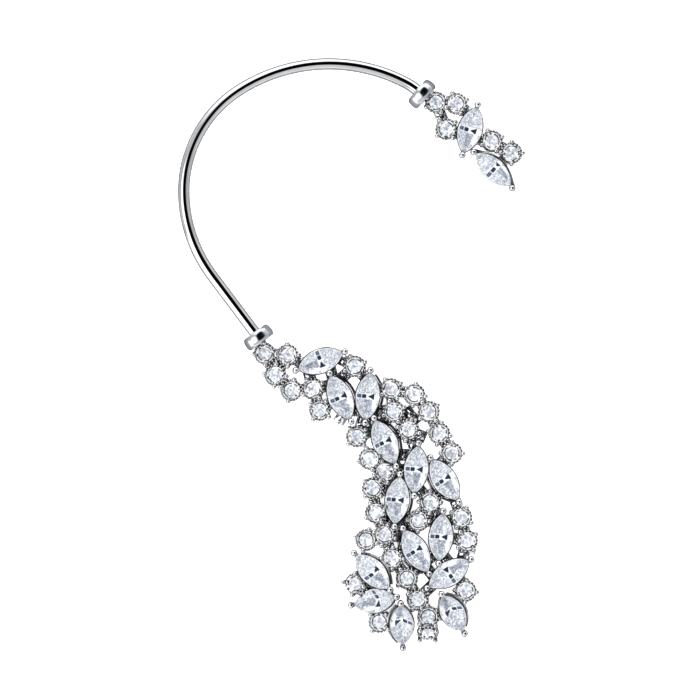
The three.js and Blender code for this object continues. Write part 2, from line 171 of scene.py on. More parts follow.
# The cuff lies on a sheet of smooth white paper that is lit from behind as well, so that it stays
# white in the gaps of the clusters. Polished metal mirrors it as a plain grey.
paper_reach = 3.0
paper_level = -0.12 * mm
paper_white = "fafafa"
mirrored_paper = "9c9c9c"
paper_back_light = 0.8
paper_mesh = bpy.data.meshes.new("white_paper")
paper_corners = [(-1, -1, 0), (1, -1, 0), (1, 1, 0), (-1, 1, 0)]
paper_mesh.from_pydata((np.array(paper_corners) * paper_reach).tolist(), [], [(0, 1, 2, 3)])
paper = bpy.data.objects.new("white_paper", paper_mesh)
paper.location.z = paper_level
bpy.context.scene.collection.objects.link(paper)
paper_material = bpy.data.materials.new("white_paper")
paper_material.use_nodes = True
paper_tree = paper_material.node_tree
paper_surface = paper_tree.nodes["Principled BSDF"]
paper_surface.inputs["Roughness"].default_value = 0.9
paper_surface.inputs["Specular IOR Level"].default_value = 0.0
paper_surface.inputs["Emission Color"].default_value = linear("ffffff")
mirrored = add_node(paper_tree, "ShaderNodeLightPath").outputs["Is Glossy Ray"]
paper_colours = {6: linear(paper_white), 7: linear(mirrored_paper)}
paper_colour = add_node(paper_tree, "ShaderNodeMix", paper_colours, {0: mirrored}, data_type="RGBA")
back_light = add_node(paper_tree, "ShaderNodeMapRange", {3: paper_back_light, 4: 0.0}, {0: mirrored})
paper_tree.links.new(paper_colour.outputs[2], paper_surface.inputs["Base Color"])
paper_tree.links.new(back_light.outputs[0], paper_surface.inputs["Emission Strength"])
paper_mesh.materials.append(paper_material)


# The hook is one round wire of rhodium-plated brass, bent by hand round a former and polished.
# Its two ends go into the rondelles' bores, where they are soldered.
def skin(points, closed=True):
    """Faces over a grid of points, rows by columns: each quad joins two rows and two columns, and
    closed joins the last column to the first. A row whose points are all one is a pole."""
    rows, columns = points.shape[:2]
    last = columns if closed else columns - 1
    row, column = np.meshgrid(np.arange(rows - 1), np.arange(last), indexing="ij")
    following = (column + 1) % columns
    corners = [
        row * columns + column,
        row * columns + following,
        (row + 1) * columns + following,
        (row + 1) * columns + column,
    ]
    faces = np.stack(corners, axis=-1).reshape(-1, 4)
    return points.reshape(-1, 3), faces


def swept(path, across, up, section, growth):
    """A closed bar: each point of the section, in shares across and up, is set off from each point of
    the path by those two directions times the growth there. Both ends run in to the path itself."""
    body = (
        path[:, None]
        + across[:, None] * (section[:, 0] * growth[:, None])[..., None]
        + up[:, None] * (section[:, 1] * growth[:, None])[..., None]
    )
    start = np.repeat(path[:1, None], len(section), axis=1)
    end = np.repeat(path[-1:, None], len(section), axis=1)
    return skin(np.concatenate([start, body, end]))


def round_section(radius, sides):
    """The points of a circle, from the angle of each side."""
    angle = 2 * np.pi * np.arange(sides) / sides
    return radius * np.stack([np.cos(angle), np.sin(angle)], axis=-1)


def tidy_mesh(mesh, weld_distance=1e-7):
    """Welds points that lie on each other and turns the faces of each closed body outwards."""
    body = bmesh.new()
    body.from_mesh(mesh)
    bmesh.ops.remove_doubles(body, verts=body.verts, dist=weld_distance)
    bmesh.ops.recalc_face_normals(body, faces=body.faces)
    body.to_mesh(mesh)
    body.free()


def place_piece(name, mesh, nodes):
    """A mesh in the cuff's frame as an object that moves with the cuff and stands for some nodes."""
    piece = bpy.data.objects.new(name, mesh)
    bpy.context.scene.collection.objects.link(piece)
    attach(piece, "root")
    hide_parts(*nodes)
    return piece


def smooth_piece(name, form, material, nodes):
    """A form in metres as a smooth piece of the cuff, with its seams and poles welded."""
    points, faces = form
    mesh = bpy.data.meshes.new(name)
    mesh.from_pydata(points.tolist(), [], faces.tolist())
    tidy_mesh(mesh)
    mesh.polygons.foreach_set("use_smooth", np.ones(len(mesh.polygons), bool))
    mesh.materials.append(material)
    return place_piece(name, mesh, nodes)


def node_points(name):
    """The corners of a node's triangles, three by three, in metres."""
    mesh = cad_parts[name].data
    points = np.empty(len(mesh.vertices) * 3)
    mesh.vertices.foreach_get("co", points)
    corners = np.empty(len(mesh.loops), int)
    mesh.loops.foreach_get("vertex_index", corners)
    return points.reshape(-1, 3)[corners].reshape(-1, 3, 3)


def hermite(place, points, wanted):
    """A smooth curve through points: between two of them, a cubic that leaves and arrives along the
    mean of the steps before and after each."""
    slope = np.gradient(points, axis=0)
    index = np.clip(np.searchsorted(place, wanted, side="right") - 1, 0, len(place) - 2)
    share = (wanted - place[index])[:, None]
    before, after = points[index], points[index + 1]
    leave, arrive = slope[index], slope[index + 1]
    return (
        before * (2 * share**3 - 3 * share**2 + 1)
        + leave * (share**3 - 2 * share**2 + share)
        + after * (3 * share**2 - 2 * share**3)
        + arrive * (share**3 - share**2)
    )


def wire_line(name, steps):
    """The wire's centreline. The solid has two corners on top of each ring: they are put in order by
    their angle round the loop, and their middles are joined by a smooth curve with even steps."""
    corners = np.unique(np.round(node_points(name).reshape(-1, 3), 7), axis=0)
    highest, lowest = corners[:, 2].max(), corners[:, 2].min()
    top = corners[corners[:, 2] > highest - 1e-6]
    middle = (corners.max(axis=0) + corners.min(axis=0)) / 2
    angle = np.arctan2(top[:, 1] - middle[1], top[:, 0] - middle[0]) % (2 * np.pi)
    rings = top[np.argsort(-angle)].reshape(-1, 2, 3).mean(axis=1)
    rings[:, 2] = (highest + lowest) / 2
    return hermite(np.arange(len(rings)), rings, np.linspace(0, len(rings) - 1, steps))


def unit(vectors):
    """Vectors brought to a length of one."""
    return vectors / np.linalg.norm(vectors, axis=-1, keepdims=True)


def rhodium_material(name, bright, dim, roughness, clouds_per_mm):
    """Rhodium plate over brass: a hard, cool white mirror. Polishing leaves it in faint clouds that
    are a little brighter or dimmer, rougher or smoother, and its edges go darker than its face."""
    material = bpy.data.materials.new(name)
    material.use_nodes = True
    tree = material.node_tree
    surface = tree.nodes["Principled BSDF"]
    surface.inputs["Metallic"].default_value = 1.0
    surface.inputs["Specular Tint"].default_value = linear(rhodium_edge)
    place = add_node(tree, "ShaderNodeTexCoord").outputs["Object"]
    cloud_settings = {"Scale": clouds_per_mm / mm, "Detail": 3.0}
    cloud = add_node(tree, "ShaderNodeTexNoise", cloud_settings, {"Vector": place}).outputs["Fac"]
    colours = add_node(tree, "ShaderNodeValToRGB", links={0: cloud})
    set_stops(colours, [(0.35, dim), (0.6, bright)])
    polish_settings = {1: 0.3, 2: 0.7, 3: roughness * 0.7, 4: roughness * 1.4}
    polish = add_node(tree, "ShaderNodeMapRange", polish_settings, {0: cloud})
    tree.links.new(colours.outputs[0], surface.inputs["Base Color"])
    tree.links.new(polish.outputs[0], surface.inputs["Roughness"])
    return material


rhodium_edge = "a2a6ae"
hook_rhodium = rhodium_material("polished_rhodium_wire", "bfc0c2", "b1b3b6", 0.05, 0.35)
wire_radius = 0.75 * mm
wire_steps = 260
wire_sides = 40
line = wire_line("ear_hook", wire_steps)
along = unit(np.gradient(line, axis=0))
sideways = np.stack([-along[:, 1], along[:, 0], np.zeros(wire_steps)], axis=-1)
upward = np.tile([0.0, 0.0, 1.0], (wire_steps, 1))
wire_form = swept(line, sideways, upward, round_section(wire_radius, wire_sides), np.ones(wire_steps))
smooth_piece("polished_wire_hook", wire_form, hook_rhodium, ["ear_hook"])


# Each rondelle is a turned bead of the same plated brass with a bulged side, a fine rim at each end
# and a bore for the wire. It hides the solder joint between the wire and its cluster.
def collar_place(name):
    """A collar's middle, and its axis, which is the way its corners spread the least, turned so that
    it points away from the wire."""
    corners = np.unique(np.round(node_points(name).reshape(-1, 3), 7), axis=0)
    middle = corners.mean(axis=0)
    spread, ways = np.linalg.eigh(np.cov((corners - middle).T))
    axis = ways[:, 0]
    nearest = line[np.argmin(np.linalg.norm(line - middle, axis=1))]
    away = 1 if np.dot(middle - nearest, axis) > 0 else -1
    return middle, axis * away


def turned(middle, axis, profile, sides):
    """A lathe form: each row of the profile is a radius and a place along the axis."""
    across = unit(np.cross(axis, [0.0, 0.0, 1.0]))
    up = np.cross(across, axis)
    angle = 2 * np.pi * np.arange(sides) / sides
    ring = np.cos(angle)[:, None] * across + np.sin(angle)[:, None] * up
    return skin(middle + profile[:, 0, None, None] * ring + profile[:, 1, None, None] * axis)


collar_rhodium = rhodium_material("polished_rhodium_collar", "b7babe", "a1a6ad", 0.18, 0.5)
collar_sides = 72
bulge_share = np.linspace(-1, 1, 33)
bulge_radius = 1.98 - 0.02 * (1 - bulge_share) ** 2 - 0.2 * abs(bulge_share) ** 3.5
bulge_places = np.stack([bulge_radius, 0.01 + 0.74 * bulge_share], axis=-1)
wire_rim = [(0.8, -0.81), (1.6, -0.81), (1.68, -0.79), (1.7, -0.75)]
cluster_rim = [(1.79, 0.76), (1.8, 0.79), (1.76, 0.81), (0.8, 0.81), (0.8, -0.81)]
collar_profile = np.concatenate([wire_rim, bulge_places, cluster_rim]) * mm
collars = {cluster: collar_place("collar_" + cluster) for cluster in ("lower", "upper")}
for cluster, (middle, axis) in collars.items():
    collar_form = turned(middle, axis, collar_profile, collar_sides)
    name = "barrel_rondelle_" + cluster
    smooth_piece(name, collar_form, collar_rhodium, ["collar_" + cluster])


# The castings are built round the stones, so the stones' places come first. The table of each solid
# is its broadest face, and its girdle is where its corners stand furthest from the table's axis.
def stone_place(name):
    """The middle of a stone's girdle, and three unit directions: to a far corner, across, and up."""
    triangles = node_points(name)
    normals = np.cross(triangles[:, 1] - triangles[:, 0], triangles[:, 2] - triangles[:, 0]) / 2
    areas = np.linalg.norm(normals, axis=1)
    facing, group = np.unique(np.round(unit(normals), 2), axis=0, return_inverse=True)
    group = group.reshape(-1)
    broadest = np.argmax(np.bincount(group, weights=areas))
    table = group == broadest
    up = unit(normals[table].sum(axis=0))
    table_middle = np.average(triangles[table].mean(axis=1), axis=0, weights=areas[table])
    corners = triangles.reshape(-1, 3) - table_middle
    level = corners @ up
    outward = corners - level[:, None] * up
    reach = np.linalg.norm(outward, axis=1)
    furthest = reach > reach.max() - 0.001 * mm
    girdle = (level[furthest].max() + level[furthest].min()) / 2
    along_stone = unit(outward[np.argmax(reach)])
    return table_middle + girdle * up, np.stack([along_stone, np.cross(up, along_stone), up])


def turned_places(places, angles):
    """Places turned about their own upward directions by an angle each."""
    middles = np.array([middle for middle, axes in places])
    axes = np.array([axes for middle, axes in places])
    cosine, sine = np.cos(angles)[:, None], np.sin(angles)[:, None]
    first = axes[:, 0] * cosine + axes[:, 1] * sine
    second = axes[:, 1] * cosine - axes[:, 0] * sine
    return middles, np.stack([first, second, axes[:, 2]], axis=1)


def marquise_heading(places, headings):
    """Marquise places turned end for end where needed, so that each second direction points the way
    that is nearest to its heading in degrees."""
    wanted = np.radians(headings)
    wanted = np.stack([np.cos(wanted), np.sin(wanted)], axis=-1)
    across_stones = np.array([axes[1, :2] for middle, axes in places])
    flipped = (across_stones * wanted).sum(axis=1) < 0
    return turned_places(places, np.pi * flipped)


def claw_turns(places, setting):
    """How far each round stone's square of claws is turned from its first direction. The outer top
    corners of its claws lie in pairs round each quarter turn, so their mean angle gives it."""
    corners = node_points(setting).reshape(-1, 3)
    turns = []
    for middle, axes in places:
        local = (corners - middle) @ axes.T / mm
        reach = np.hypot(local[:, 0], local[:, 1])
        tops = (abs(local[:, 2] - solid_claw_rise) < 0.02) & (abs(reach - solid_claw_reach) < 0.03)
        angle = np.arctan2(local[tops, 1], local[tops, 0])
        turns.append(np.angle(np.exp(4j * angle).mean()) / 4)
    return np.array(turns)


solid_claw_rise = 0.5
solid_claw_reach = 1.568
marquise_headings = {
    "lower": [-70, 20, -6, 22, -4, -10, 32, 30, -5, 47, -82, 180, 130, 200],
    "upper": [-17, 47],
}
round_counts = {"lower": 33, "upper": 5}
marquise_names = {}
marquise_places = {}
round_names = {}
round_places = {}
for cluster, headings in marquise_headings.items():
    names = [f"marquise_{cluster}_{number:02d}" for number in range(1, len(headings) + 1)]
    marquise_names[cluster] = names
    marquise_places[cluster] = marquise_heading([stone_place(name) for name in names], headings)
    names = [f"round_{cluster}_{number:02d}" for number in range(1, round_counts[cluster] + 1)]
    found = [stone_place(name) for name in names]
    round_names[cluster] = names
    round_places[cluster] = turned_places(found, claw_turns(found, "setting_" + cluster))


# Each cluster's metal is brass, cast in parts, soldered as one and plated. Under every stone stands a
# tapered cup with beaded claws, a round stone's with small claws between them. Flat links with grain
# beads join the cups on the back plane, and thin gallery wires follow some of the long stones.
def on_photo(pixels):
    """Pixels of the photograph to x and y in metres: off the middle, scaled, with y turned upwards."""
    off_middle = (np.asarray(pixels, float).reshape(-1, 2) - photo_pixels / 2) * photo_width / photo_pixels
    return photo_middle + off_middle * (1, -1)


def gathered(forms):
    """Several forms as one: their points on end, and their faces counted on from the points before."""
    starts = np.cumsum([0] + [len(points) for points, faces in forms[:-1]])
    points = np.concatenate([points for points, faces in forms])
    faces = np.concatenate([faces + start for (_, faces), start in zip(forms, starts)])
    return points, faces


def set_at(form, middles, axes):
    """One form repeated at places: each point is a place's middle plus its shares of the directions."""
    points, faces = form
    moved = middles[:, None] + np.einsum("nk,pkj->pnj", points, axes)
    shifted = faces[None] + len(points) * np.arange(len(middles))[:, None, None]
    return moved.reshape(-1, 3), shifted.reshape(-1, faces.shape[1])


def marquise_outline(angle, length, width):
    """A marquise: two arcs that meet in points, taken by the angle round it from its first point."""
    arc_radius = (length**2 + width**2) / (4 * width)
    half_arc = np.arcsin(length / 2 / arc_radius)
    around = angle % (2 * np.pi)
    side = np.where(around < np.pi, 1, -1)
    arc_angle = half_arc * (1 - 2 * np.where(side > 0, around, 2 * np.pi - around) / np.pi)
    across = arc_radius * np.cos(arc_angle) - (arc_radius - width / 2)
    return np.stack([arc_radius * np.sin(arc_angle), side * np.maximum(across, 0)], axis=-1)


def round_outline(angle, length, width):
    """A circle, or an oval of that length and width."""
    return np.stack([length / 2 * np.cos(angle), width / 2 * np.sin(angle)], axis=-1)


def cup_form(outline, length, width, rim, sides, waves, depth):
    """A cup in a stone's own directions: a tapered outside, a scalloped rim just under the girdle, and
    a bowl for the stone's pointed back. Each row is how far it stands off the outline, its share of
    that outline, its height, and how much its scallops dip, in as many waves as there are."""
    angle = 2 * np.pi * np.arange(sides) / sides
    rows = [
        (0.8 * rim, 0.0, -depth, 0.0),
        (0.8 * rim, 0.55, -depth, 0.0),
        (0.8 * rim, 0.62, -depth * 0.75, 0.0),
        (0.7 * rim, 0.8, -0.95, 0.0),
        (0.8 * rim, 0.97, -0.6, -0.12),
        (0.95 * rim, 1.0, -0.42, -0.18),
        (rim, 1.0, -0.3, -0.18),
        (0.8 * rim, 1.0, -0.22, -0.18),
        (0.36 * rim, 1.0, -0.2, -0.16),
        (0.12 * rim, 1.0, -0.2, -0.12),
        (-0.05, 1.0, -0.3, 0.0),
        (-0.1, 0.75, -0.2 - 0.22 * width, 0.0),
        (-0.1, 0.4, -0.05 - 0.4 * width, 0.0),
        (-0.1, 0.0, -0.12 - back_depth_share * width, 0.0),
    ]
    rings = []
    for off, share, height, scallop in rows:
        ring = share * outline(angle, length + 2 * off, width + 2 * off)
        level = height + scallop * (0.5 - 0.5 * np.cos(waves * angle))
        rings.append(np.concatenate([ring, level[:, None]], axis=-1))
    return skin(np.array(rings) * mm)


def upright_ways(count):
    """The x and y directions, once for each point of an upright's path."""
    return np.tile([1.0, 0.0, 0.0], (count, 1)), np.tile([0.0, 1.0, 0.0], (count, 1))


def stem_form(middle, up, depth):
    """An upright from the back plane to the bottom of a leaning stone's cup."""
    top = middle - up * depth
    foot = np.array([top[0], top[1], 0.0])
    path = foot + np.linspace(0, 1, 4)[:, None] * (top - foot)
    return swept(path, *upright_ways(4), round_section(stem_radius, 12), np.ones(4))


def cups_and_stems(cut, middles, axes):
    """The cups of one kind of stone. An upright cup stands on the back plane, and a leaning one ends
    one wall below its stone, on a stem."""
    leaning_depth = back_depth_share * cut["width"] + cup_wall
    leaning = axes[:, 2, 2] < upright_limit
    forms = []
    for lean in np.unique(leaning):
        chosen = leaning == lean
        depth = leaning_depth if lean else middles[chosen, 2].mean() / mm
        forms.append(set_at(cup_form(**cut, depth=depth), middles[chosen], axes[chosen]))
    for middle, ways in zip(middles[leaning], axes[leaning]):
        forms.append(stem_form(middle, ways[2], leaning_depth * mm))
    return gathered(forms)


def beaded_path(controls, bead_radius, shank_radii, steps=11, bead_rows=8):
    """A claw's path and radii: a smooth shank through the control points, that ends in a bead centred
    on the last of them. The bead's radius follows a half circle."""
    controls = np.array(controls, float)
    shank = hermite(np.arange(len(controls)), controls, np.linspace(0, len(controls) - 1, steps))
    shank_growth = np.interp(np.linspace(0, 1, steps), np.linspace(0, 1, len(shank_radii)), shank_radii)
    way = unit(shank[-1] - shank[-2])
    bead_angle = np.radians(np.linspace(-50, 82, bead_rows))
    bead = shank[-1] + bead_radius * np.sin(bead_angle)[:, None] * way
    bead_growth = bead_radius * np.cos(bead_angle)
    kept = ((shank - shank[-1]) @ way) < bead_radius * np.sin(bead_angle[0])
    return np.concatenate([shank[kept], bead]), np.concatenate([shank_growth[kept], bead_growth])


def claw_form(path, radii, sides):
    """A claw in the plane of a stone's first and upward directions, thick as the radii say along its
    path, with a rounded tip."""
    steps = len(path)
    path = np.stack([path[:, 0], np.zeros(steps), path[:, 1]], axis=-1)
    way = unit(np.gradient(path, axis=0))
    across = np.tile([0.0, 1.0, 0.0], (steps, 1))
    points, faces = swept(path, across, np.cross(across, way), round_section(1.0, sides), radii)
    return points * mm, faces


def claws_at(form, middles, axes, turns):
    """A claw at each of those turns, in degrees, round each stone."""
    places = list(zip(middles, axes))
    claws = []
    for turn in np.radians(turns):
        claws.append(set_at(form, *turned_places(places, np.full(len(places), turn))))
    return gathered(claws)


def rail_form(middle, axes, side):
    """A thin gallery wire that follows one side of a marquise, a little outside and below its rim."""
    angle = side * np.linspace(0.1, 0.9, rail_steps) * np.pi
    off, level = (rail_off, rail_level) if axes[2, 2] > upright_limit else (lean_rail_off, lean_rail_level)
    flat = marquise_outline(angle, marquise_cut["length"] + 2 * off, marquise_cut["width"] + 2 * off) * mm
    path = middle + np.concatenate([flat, np.full((rail_steps, 1), level)], axis=-1) @ axes
    across = np.cross(unit(np.gradient(path, axis=0)), axes[2])
    up = np.tile(axes[2], (rail_steps, 1))
    return swept(path, across, up, round_section(rail_radius, 8), np.ones(rail_steps))


def spine_feet(middles, axes, half_length, count, half_width):
    """What a link may join: points on the back plane under each stone's long line, with the stone's
    half width. A leaning stone has its middle alone."""
    shares = np.linspace(-half_length, half_length, count)
    feet = []
    for middle, ways in zip(middles, axes):
        leaning = ways[2, 2] < upright_limit
        spots = middle[None, :2] if leaning else middle[:2] + shares[:, None] * ways[0, :2]
        feet.append((spots, half_width))
    return feet


def links_between(feet, reach):
    """The links of a cluster: from the closest pair of feet outwards, a link joins two feet that no
    link joins yet, or that stand within reach. Each foot is its points and its own half width."""
    ways = []
    for first in range(len(feet)):
        for second in range(first + 1, len(feet)):
            gaps = np.linalg.norm(feet[first][0][:, None] - feet[second][0][None], axis=-1)
            start, end = np.unravel_index(np.argmin(gaps), gaps.shape)
            slack = gaps[start, end] - feet[first][1] - feet[second][1]
            ways.append((slack, first, second, feet[first][0][start], feet[second][0][end]))
    ways.sort(key=lambda way: way[0])
    group = np.arange(len(feet))
    links = []
    for slack, first, second, start, end in ways:
        apart = group[first] != group[second]
        if apart or slack < reach:
            links.append((start, end))
            group[group == group[second]] = group[first]
    return links


def link_form(start, end):
    """A flattened bar that lies on the back plane between two points of it."""
    path = np.array([[*start, link_half_height], [*end, link_half_height]])
    path = path[0] + np.linspace(0, 1, 3)[:, None] * (path[1] - path[0])
    way = unit(path[1] - path[0])
    across = np.tile([-way[1], way[0], 0.0], (3, 1))
    section = round_section(1.0, 14) * (link_half_width, link_half_height)
    return swept(path, across, np.tile([0.0, 0.0, 1.0], (3, 1)), section, np.ones(3))


def grain_form(place):
    """A grain bead that rises from a link: a plumb path with its own growth at each level."""
    count = len(grain_levels)
    path = np.concatenate([np.tile(place, (count, 1)), grain_levels[:, None]], axis=-1)
    return swept(path, *upright_ways(count), round_section(grain_radius, 8), grain_growth)


def stud_form(spot):
    """A plain round stud that stands on the back plane between the stones, a little wider on top."""
    count = len(stud_growth)
    path = np.array([[spot[0], spot[1], level] for level in np.linspace(0, 1, count) * stud_top])
    return swept(path, *upright_ways(count), round_section(stud_radius, 12), stud_growth)


def neck_form(cluster):
    """The peg that is soldered into the rondelle's bore and carries the cluster's first cup."""
    middle, axis = collars[cluster]
    first = round_places[cluster][0][0]
    back_way = unit((middle - first) * (1, 1, 0))
    end = first + back_way * neck_back - np.array([0.0, 0.0, neck_drop])
    bend = (middle + axis * neck_bend_reach + end) / 2
    controls = np.stack([middle, middle + axis * neck_straight, bend, end])
    path = hermite(np.arange(4), controls, np.linspace(0, 3, neck_steps))
    way = unit(np.gradient(path, axis=0))
    across = unit(np.cross(way, [0.0, 0.0, 1.0]))
    section = round_section(neck_radius, 16)
    return swept(path, across, np.cross(across, way), section, np.ones(neck_steps))


def cluster_form(cluster):
    """All the metal of one cluster, with nothing below the back plane."""
    long_middles, long_axes = marquise_places[cluster]
    round_middles, round_axes = round_places[cluster]
    forms = [
        cups_and_stems(marquise_cut, long_middles, long_axes),
        claws_at(marquise_claw, long_middles, long_axes, marquise_claw_turns),
        cups_and_stems(round_cut, round_middles, round_axes),
        claws_at(round_claw, round_middles, round_axes, round_claw_turns),
        claws_at(small_claw, round_middles, round_axes, small_claw_turns),
        neck_form(cluster),
    ]
    for middle, ways, side in zip(long_middles, long_axes, rail_sides[cluster]):
        if side:
            forms.append(rail_form(middle, ways, side))
    studs = on_photo(stud_pixels[cluster])
    forms += [stud_form(spot) for spot in studs]
    feet = spine_feet(long_middles, long_axes, foot_line_half, 5, marquise_cut["width"] / 2 * mm)
    feet += spine_feet(round_middles, round_axes, 0.0, 1, round_cut["width"] / 2 * mm)
    feet += [(spot[None], stud_radius) for spot in studs]
    links = links_between(feet, link_reach)
    links += [tuple(on_photo(ends)) for ends in long_link_pixels[cluster]]
    for start, end in links:
        forms.append(link_form(start, end))
        sideways = unit(end - start)[::-1] * (1, -1)
        forms += [grain_form((start + end) / 2 + off * sideways) for off in grain_offsets]
    points, faces = gathered(forms)
    points[:, 2] = np.maximum(points[:, 2], 0.0)
    return points, faces


def painted_shade_shares(points, cluster):
    """Painted shade for each point of the metal: the share of its plate colour that is left, from its height
    against the girdle of the stone that it is nearest to. The lip that touches the stone lies in its shadow,
    which is painted darkest."""
    nearest = np.full(len(points), np.inf)
    share = np.zeros(len(points))
    kinds = [(marquise_places, marquise_cut, marquise_painted_shade), (round_places, round_cut, round_painted_shade)]
    for all_places, cut, painted_shade_levels in kinds:
        for middle, ways in zip(*all_places[cluster]):
            local = (points - middle) @ ways.T / mm
            off = np.hypot(local[:, 0] / cut["length"], local[:, 1] / cut["width"]) * 2
            closer = off < nearest
            by_level = np.interp(local[:, 2], painted_shade_heights, painted_shade_levels)
            lip = (off < lip_share) & (abs(local[:, 2] - lip_level) < lip_half_height)
            nearest[closer] = off[closer]
            share[closer] = np.where(lip, lip_painted_shadow, by_level)[closer]
    return share


def cast_material():
    """Cast brass under rhodium, with the fine grain of the casting all over it. Its plate colour is darkened
    by painted shade from a point attribute: the claws' beads and the rims are left lighter, and the metal
    just under the rims and between the stones is painted darker."""
    material = rhodium_material("cast_rhodium", "f4f5f7", "d6d8dc", 0.08, 1.2)
    tree = material.node_tree
    surface = tree.nodes["Principled BSDF"]
    place = add_node(tree, "ShaderNodeTexCoord").outputs["Object"]
    # The attribute holds painted shade, which darkens the plate colour.
    share = add_node(tree, "ShaderNodeAttribute", attribute_name="polish", attribute_type="GEOMETRY")
    plate = surface.inputs["Base Color"].links[0].from_socket
    mix_links = {6: plate, 7: share.outputs[0]}
    plate_with_painted_shade = add_node(tree, "ShaderNodeMix", {0: 1.0}, mix_links, data_type="RGBA", blend_type="MULTIPLY")
    grain_settings = {"Scale": casting_grains_per_mm / mm, "Detail": 2.0}
    grain = add_node(tree, "ShaderNodeTexNoise", grain_settings, {"Vector": place})
    bump_settings = {"Strength": 0.2, "Distance": 0.04 * mm}
    bump = add_node(tree, "ShaderNodeBump", bump_settings, {"Height": grain.outputs["Fac"]})
    tree.links.new(plate_with_painted_shade.outputs[2], surface.inputs["Base Color"])
    tree.links.new(bump.outputs[0], surface.inputs["Normal"])
    return material


# Sizes of the cups, claws and rails in a stone's own directions are in millimetres, heights from its
# girdle. A claw's line is a list of its reach from the stone's middle and its height, and what
# follows it is its bead's radius and its shank's radii from the foot to the bead.
back_depth_share = 0.43
upright_limit = 0.999
marquise_cut = {
    "outline": marquise_outline, "length": 6.0, "width": 3.0, "rim": 0.13, "sides": 64, "waves": 6
}
round_cut = {
    "outline": round_outline, "length": 2.25, "width": 2.25, "rim": 0.27, "sides": 32, "waves": 4
}
cup_wall = 0.2
stem_radius = 0.45 * mm
round_claw_line = [(0.85, -1.5), (1.14, -0.85), (1.42, -0.2), (1.4, 0.2)]
round_claw = claw_form(*beaded_path(round_claw_line, 0.32, [0.22, 0.24, 0.26, 0.27]), sides=12)
round_claw_turns = [0, 90, 180, 270]
marquise_claw_line = [(2.3, -1.7), (2.85, -0.9), (3.3, -0.25), (3.3, 0.15)]
marquise_claw = claw_form(*beaded_path(marquise_claw_line, 0.45, [0.26, 0.28, 0.3, 0.3]), sides=14)
marquise_claw_turns = [0, 180]
small_claw_line = [(1.05, -1.0), (1.22, -0.6), (1.28, -0.2)]
small_claw = claw_form(*beaded_path(small_claw_line, 0.165, [0.1, 0.11, 0.12], steps=5, bead_rows=6), sides=6)
small_claw_turns = [24, 45, 66, 114, 135, 156, 204, 225, 246, 294, 315, 336]

# A rail's side is 1 or -1, towards the stone's second direction or away from it, and 0 is no rail.
rail_sides = {"lower": [0, 1, 1, 1, 0, 1, -1, -1, 0, 1, 0, 1, 0, -1], "upper": [0, 0]}
rail_steps = 24
rail_radius = 0.16 * mm
rail_off = 0.36
rail_level = -1.2 * mm
lean_rail_off = 0.27
lean_rail_level = -0.42 * mm

# Links and studs that the photograph shows apart from the nearest neighbours are placed on it. A long
# stone's feet for the links lie along a line under it, and the neck runs straight out of the rondelle,
# bends, and ends a step back from the first stone and below its girdle.
photo_pixels = 700
link_half_width = 0.75 * mm
link_half_height = 0.4 * mm
link_reach = 0.85 * mm
foot_line_half = 1.8 * mm
long_link_pixels = {
    "lower": [[(405, 409), (418, 424)], [(416, 434), (426, 438)], [(468, 545), (470, 556)]],
    "upper": [[(437, 105), (445, 125)]],
}
grain_offsets = np.array([-0.55, 0.0, 0.55]) * mm
grain_levels = np.array([0.3, 1.5, 1.6, 1.68, 1.73, 1.76]) * mm
grain_growth = np.array([0.8, 0.8, 1.0, 0.92, 0.7, 0.35])
grain_radius = 0.19 * mm
stud_pixels = {"lower": [(397.5, 470.5), (338, 423)], "upper": []}
stud_radius = 0.3 * mm
stud_top = 2.2 * mm
stud_growth = np.array([0.9, 0.9, 0.9, 0.9, 1.0, 1.0])
neck_radius = 0.5 * mm
neck_steps = 12
neck_straight = 0.7 * mm
neck_bend_reach = 0.9 * mm
neck_back = 1.25 * mm
neck_drop = 1.05 * mm

# Each height in millimetres from the girdle has its painted shade beside a marquise and beside a round, as
# the share of the plate colour that is left. The lip, painted in the stone's shadow, reaches to a share of
# the stone's outline, and half its height above and below its level.
painted_shade_heights = [-1.45, -1.35, -1.05, -0.9, -0.6, -0.36, -0.26, -0.05, 0.02, 0.2, 0.36]
marquise_painted_shade = [0.9, 0.34, 0.34, 0.6, 0.5, 0.22, 0.45, 0.9, 0.34, 0.32, 0.62]
round_painted_shade = [0.9, 0.9, 0.8, 0.7, 0.5, 0.22, 0.45, 1.0, 0.32, 0.28, 0.6]
lip_share = 1.07
lip_level = -0.14
lip_half_height = 0.16
lip_painted_shadow = 0.08
casting_grains_per_mm = 4.5
cast_rhodium = cast_material()
for cluster in ("lower", "upper"):
    name = "cast_setting_" + cluster
    form = cluster_form(cluster)
    piece = smooth_piece(name, form, cast_rhodium, ["setting_" + cluster])
    points = np.empty(len(piece.data.vertices) * 3)
    piece.data.vertices.foreach_get("co", points)
    # Painted shade for each point, kept in a point attribute of the piece.
    polish = np.ones((len(piece.data.vertices), 4))
    polish[:, :3] = painted_shade_shares(points.reshape(-1, 3), cluster)[:, None]
    attribute = piece.data.color_attributes.new("polish", "FLOAT_COLOR", "POINT")
    attribute.data.foreach_set("color", polish.ravel())
